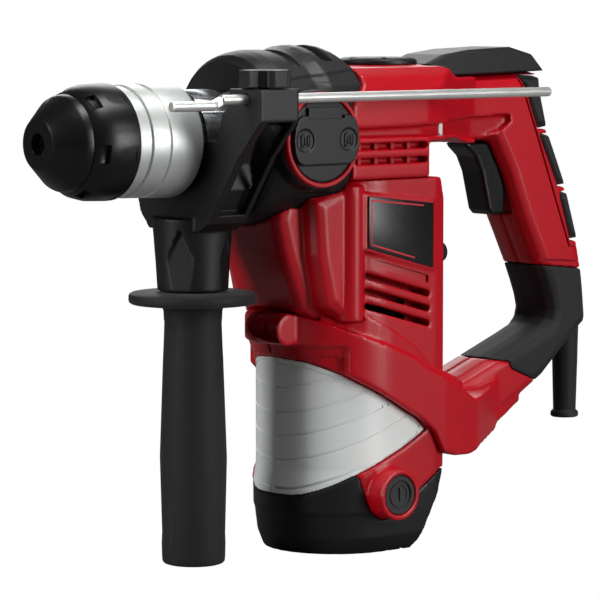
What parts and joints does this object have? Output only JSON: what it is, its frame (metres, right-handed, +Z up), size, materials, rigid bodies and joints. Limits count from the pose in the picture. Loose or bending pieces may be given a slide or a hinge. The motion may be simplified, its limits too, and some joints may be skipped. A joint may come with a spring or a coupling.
{
  "type": "rotary hammer",
  "caption": "Upright-motor rotary hammer with a D-handle, quick-release chuck, mode selector and a swinging side handle that carries a depth rod.",
  "frame": {"origin": "centre of the flat foot under the motor, on the motor axis", "axes": "+Z up along the motor axis, -X towards the tool socket, +X towards the D-handle, -Y the side with the mode selector"},
  "size_m": [0.3616, 0.1205, 0.2576],
  "materials": {
    "red_housing": "moulded satin red",
    "black_plastic": "fine spark-eroded texture",
    "soft_grip": "matt",
    "silver_plastic": "silver lacquer",
    "cast_alloy": "die cast",
    "steel": "ground",
    "copper": "turned",
    "carbon": "pressed carbon"
  },
  "bodies": {
    "frame": {"housing_left": "red_housing", "housing_right": "red_housing", "motor_housing": "red_housing", "base_cap": "black_plastic", "shroud": "silver_plastic", "gear_case": "cast_alloy", "gear_cover": "black_plastic", "elbow_pad": "soft_grip", "grip_pad_1": "soft_grip", "grip_pad_2": "soft_grip", "grip_pad_3": "soft_grip", "top_cap": "black_plastic", "grease_cap": "black_plastic", "label_left": "black_plastic", "label_right": "black_plastic", "brush_cap_left": "black_plastic", "brush_cap_right": "black_plastic", "brush_holder_left": "copper", "brush_holder_right": "copper", "brush_left": "carbon", "brush_right": "carbon", "cord_boot": "soft_grip", "switch_body": "black_plastic", "stator": "steel", "bearing_lower": "steel", "bearing_upper": "steel", "tooth_ring": "black_plastic", "selector_ring": "red_housing", "housing_screw_1": "steel", "housing_screw_2": "steel", "housing_screw_3": "steel", "housing_screw_4": "steel"},
    "side_handle": {"side_bracket": "black_plastic", "clamp_band": "steel", "clamp_bolt": "steel"},
    "side_grip_body": {"side_grip": "soft_grip"},
    "stop_rod": {"depth_rod": "steel"},
    "rod_clamp": {"cross_knob": "black_plastic"},
    "chuck": {"spindle": "steel", "spindle_gear": "steel", "dust_cap": "soft_grip", "chuck_sleeve": "silver_plastic", "lock_ball_left": "steel", "lock_ball_right": "steel"},
    "collar": {"lock_collar": "black_plastic", "lock_ring": "steel"},
    "rotor": {"armature": "steel", "commutator": "copper", "fan": "black_plastic"},
    "crank_body": {"crank": "steel"},
    "con_rod_body": {"con_rod": "steel"},
    "second_shaft": {"intermediate_shaft": "steel"},
    "piston_body": {"piston": "cast_alloy"},
    "striker_body": {"striker": "steel"},
    "anvil_body": {"anvil": "steel"},
    "selector": {"selector_knob": "black_plastic"},
    "selector_release": {"selector_button": "black_plastic"},
    "trigger_body": {"trigger": "black_plastic"},
    "direction_switch": {"direction_knob": "black_plastic"}
  },
  "joints": [
    {"name": "rotor_spin", "type": "hinge", "parent": "frame", "child": "rotor", "pos_m": [0, 0, 0.0733], "axis": [0, 0, 1], "continuous": true},
    {"name": "crank_spin", "type": "hinge", "parent": "frame", "child": "crank_body", "pos_m": [0.018, 0, 0.1533], "axis": [0, 0, 1], "continuous": true},
    {"name": "con_rod_swing", "type": "hinge", "parent": "crank_body", "child": "con_rod_body", "pos_m": [0.01, 0, 0.2118], "axis": [0, 0, 1], "continuous": true},
    {"name": "second_shaft_spin", "type": "hinge", "parent": "frame", "child": "second_shaft", "pos_m": [-0.018, 0, 0.1533], "axis": [0, 0, 1], "continuous": true},
    {"name": "chuck_spin", "type": "hinge", "parent": "frame", "child": "chuck", "pos_m": [-0.12, 0, 0.2118], "axis": [1, 0, 0], "continuous": true},
    {"name": "collar_slide", "type": "slide", "parent": "chuck", "child": "collar", "axis": [1, 0, 0], "range_m": [0, 0.006], "stiffness_N_per_m": 900, "springref_m": -0.006},
    {"name": "piston_slide", "type": "slide", "parent": "frame", "child": "piston_body", "axis": [1, 0, 0], "range_m": [0, 0.016]},
    {"name": "striker_slide", "type": "slide", "parent": "frame", "child": "striker_body", "axis": [1, 0, 0], "range_m": [-0.007, 0.012]},
    {"name": "anvil_slide", "type": "slide", "parent": "frame", "child": "anvil_body", "axis": [1, 0, 0], "range_m": [0, 0.005]},
    {"name": "selector_turn", "type": "hinge", "parent": "frame", "child": "selector", "pos_m": [-0.0505, -0.05, 0.2118], "axis": [0, 1, 0], "range_deg": [-90, 90]},
    {"name": "selector_release_press", "type": "slide", "parent": "selector", "child": "selector_release", "axis": [0, 0, -1], "range_m": [0, 0.002], "stiffness_N_per_m": 400, "springref_m": -0.002},
    {"name": "trigger_press", "type": "slide", "parent": "frame", "child": "trigger_body", "axis": [1, 0, 0], "range_m": [0, 0.006], "stiffness_N_per_m": 800, "springref_m": -0.004},
    {"name": "direction_turn", "type": "hinge", "parent": "frame", "child": "direction_switch", "pos_m": [0.044, -0.03, 0.1508], "axis": [1, 0, 0], "range_deg": [-45, 45]},
    {"name": "side_handle_swing", "type": "hinge", "parent": "frame", "child": "side_handle", "pos_m": [-0.093, 0, 0.2118], "axis": [1, 0, 0], "range_deg": [-150, 30]},
    {"name": "side_grip_turn", "type": "hinge", "parent": "side_handle", "child": "side_grip_body", "pos_m": [-0.093, 0, 0.0633], "axis": [0, 0, 1], "range_deg": [-180, 180]},
    {"name": "rod_clamp_turn", "type": "hinge", "parent": "side_handle", "child": "rod_clamp", "pos_m": [-0.093, -0.056, 0.2413], "axis": [0, 0, 1], "range_deg": [-90, 90]},
    {"name": "depth_rod_slide", "type": "slide", "parent": "side_handle", "child": "stop_rod", "axis": [1, 0, 0], "range_m": [-0.06, 0.006]}
  ],
  "couplings": [
    {"joint": "crank_spin", "follows": "rotor_spin", "ratio": -0.33333},
    {"joint": "con_rod_swing", "follows": "rotor_spin", "ratio": 0.33333},
    {"joint": "second_shaft_spin", "follows": "rotor_spin", "ratio": -0.33333},
    {"joint": "chuck_spin", "follows": "rotor_spin", "ratio": 0.095238}
  ]
}
